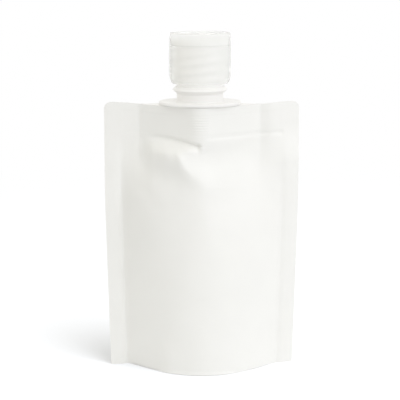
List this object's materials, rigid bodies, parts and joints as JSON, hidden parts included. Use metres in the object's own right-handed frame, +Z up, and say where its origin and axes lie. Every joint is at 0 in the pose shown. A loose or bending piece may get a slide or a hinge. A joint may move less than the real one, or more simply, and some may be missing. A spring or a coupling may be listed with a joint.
{
  "type": "spout pouch",
  "caption": "White stand-up film pouch with flat side seals, an opened bottom gusset and a welded translucent spout, closed by a translucent screw cap; holds toiletries for refilling.",
  "frame": {"origin": "on the floor under the middle of the bag", "axes": "+Z up along the spout axis, +X along the flat width of the bag, -Y out of the front panel"},
  "size_m": [0.071, 0.031, 0.1239],
  "materials": {
    "film": "satin white laminate film",
    "spout_plastic": "translucent natural polyolefin",
    "wad_foam": "closed-cell foam",
    "cap_plastic": "translucent natural polyolefin"
  },
  "bodies": {
    "pouch": {"film_bag": "film", "spout": "spout_plastic"},
    "wad": {"sealing_wad": "wad_foam"},
    "cap": {"screw_cap": "cap_plastic"}
  },
  "joints": [
    {"name": "cap_lift", "type": "slide", "parent": "pouch", "child": "wad", "axis": [0, 0, 1], "range_m": [0, 0.0192]},
    {"name": "cap_turn", "type": "hinge", "parent": "wad", "child": "cap", "pos_m": [0, 0, 0.1148], "axis": [0, 0, 1], "range_deg": [0, 1080]}
  ],
  "couplings": [
    {"joint": "cap_lift", "follows": "cap_turn", "m_per_rad": 0.0010186}
  ]
}
